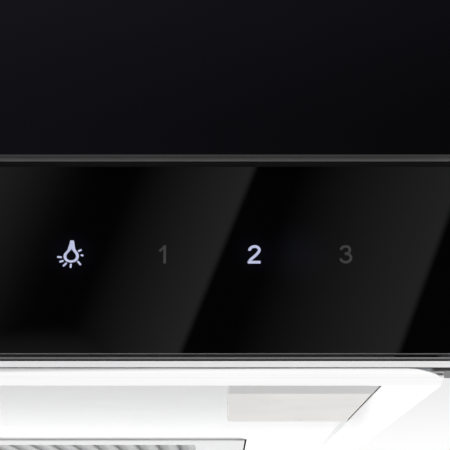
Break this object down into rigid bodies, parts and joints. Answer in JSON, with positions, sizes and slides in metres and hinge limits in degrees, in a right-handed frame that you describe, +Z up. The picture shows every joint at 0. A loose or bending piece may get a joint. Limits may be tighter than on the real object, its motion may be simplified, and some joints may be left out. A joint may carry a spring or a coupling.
{
  "type": "range hood",
  "caption": "Wall-hung range hood with a curved black glass front, a flat black touch strip, a steel tray with grease filters and lamps, and a telescoping steel chimney.",
  "frame": {"origin": "middle of the lower rear edge, on the wall plane, level with the underside of the tray", "axes": "+X is right for a viewer in front, -Y is the front, +Y points into the wall, +Z is up"},
  "size_m": [0.9, 0.476, 0.866],
  "materials": {
    "black_glass": "polished, back-enamelled",
    "strip_glass": "polished, back-enamelled",
    "icon_lit": "lit from behind",
    "icon_dim": "unlit",
    "trim_steel": "satin",
    "tray_steel": "polished",
    "gasket_rubber": "matt",
    "black_steel": "satin black powder coat",
    "black_plastic": "fine texture",
    "spring_metal": "plain",
    "board": "solder mask",
    "galvanised_steel": "zinc spangle",
    "screw_steel": "bright zinc",
    "fan_plastic": "moulded",
    "motor_metal": "black lacquer",
    "white_plastic": "moulded",
    "flap_plastic": "moulded",
    "chimney_steel": "brushed",
    "bezel_metal": "satin",
    "lens_plastic": "opal diffuser",
    "filter_aluminium": "satin",
    "mesh_aluminium": "expanded mesh",
    "latch_plastic": "moulded"
  },
  "bodies": {
    "root": {"curved_glass": "black_glass", "control_glass": "strip_glass", "icons_lit": "icon_lit", "icons_dim": "icon_dim", "glass_carrier": "trim_steel", "tray": "tray_steel", "glass_gaskets": "gasket_rubber", "front_rail": "black_steel", "icon_light_box": "black_plastic", "touch_pads": "spring_metal", "touch_board": "board", "cheek_left": "black_steel", "cheek_right": "black_steel", "corner_cap_left": "black_plastic", "corner_cap_right": "black_plastic", "back_panel": "galvanised_steel", "top_deck": "black_steel", "casing_screws": "screw_steel", "wall_hooks": "galvanised_steel", "hook_screws": "screw_steel", "volute_scroll": "galvanised_steel", "volute_side_left": "galvanised_steel", "volute_side_right": "galvanised_steel", "inlet_rings": "black_plastic", "vibration_mounts": "gasket_rubber", "motor": "motor_metal", "motor_bracket": "galvanised_steel", "motor_capacitor": "white_plastic", "outlet_collar": "black_plastic", "damper_pin": "screw_steel", "control_box": "white_plastic", "control_box_lid": "white_plastic", "main_board": "board", "terminal_block": "white_plastic", "cable_gland": "black_plastic", "chimney_foot": "galvanised_steel", "chimney_lower": "chimney_steel", "lamp_bezel_left": "bezel_metal", "lamp_lens_left": "lens_plastic", "lamp_housing_left": "white_plastic", "lamp_board_left": "board", "latch_keeper_left": "spring_metal", "lamp_bezel_right": "bezel_metal", "lamp_lens_right": "lens_plastic", "lamp_housing_right": "white_plastic", "lamp_board_right": "board", "latch_keeper_right": "spring_metal"},
    "chimney_extension": {"chimney_upper": "chimney_steel", "chimney_bracket": "galvanised_steel", "chimney_bracket_screws": "screw_steel"},
    "fan_wheel": {"impeller": "fan_plastic", "motor_shaft": "screw_steel"},
    "flap_front": {"damper_flap_front": "flap_plastic"},
    "flap_rear": {"damper_flap_rear": "flap_plastic"},
    "filter_left": {"filter_frame_left": "filter_aluminium", "filter_mesh_left": "mesh_aluminium"},
    "latch_left": {"filter_latch_left": "latch_plastic"},
    "filter_right": {"filter_frame_right": "filter_aluminium", "filter_mesh_right": "mesh_aluminium"},
    "latch_right": {"filter_latch_right": "latch_plastic"}
  },
  "joints": [
    {"name": "chimney_slide", "type": "slide", "parent": "root", "child": "chimney_extension", "axis": [0, 0, 1], "range_m": [0, 0.3]},
    {"name": "fan_spin", "type": "hinge", "parent": "root", "child": "fan_wheel", "pos_m": [0, -0.191, 0.15], "axis": [1, 0, 0], "continuous": true},
    {"name": "flap_front_lift", "type": "hinge", "parent": "root", "child": "flap_front", "pos_m": [0, -0.135, 0.38], "axis": [-1, 0, 0], "range_deg": [0, 78]},
    {"name": "flap_rear_lift", "type": "hinge", "parent": "root", "child": "flap_rear", "pos_m": [0, -0.135, 0.38], "axis": [1, 0, 0], "range_deg": [0, 78]},
    {"name": "filter_left_drop", "type": "hinge", "parent": "root", "child": "filter_left", "pos_m": [-0.196, -0.039, 0.0055], "axis": [1, 0, 0], "range_deg": [0, 75], "deforming": ["latch_keeper_left"]},
    {"name": "latch_left_pull", "type": "slide", "parent": "filter_left", "child": "latch_left", "axis": [0, 1, 0], "range_m": [0, 0.005], "stiffness_N_per_m": 400},
    {"name": "filter_right_drop", "type": "hinge", "parent": "root", "child": "filter_right", "pos_m": [0.196, -0.039, 0.0055], "axis": [1, 0, 0], "range_deg": [0, 75], "deforming": ["latch_keeper_right"]},
    {"name": "latch_right_pull", "type": "slide", "parent": "filter_right", "child": "latch_right", "axis": [0, 1, 0], "range_m": [0, 0.005], "stiffness_N_per_m": 400}
  ]
}
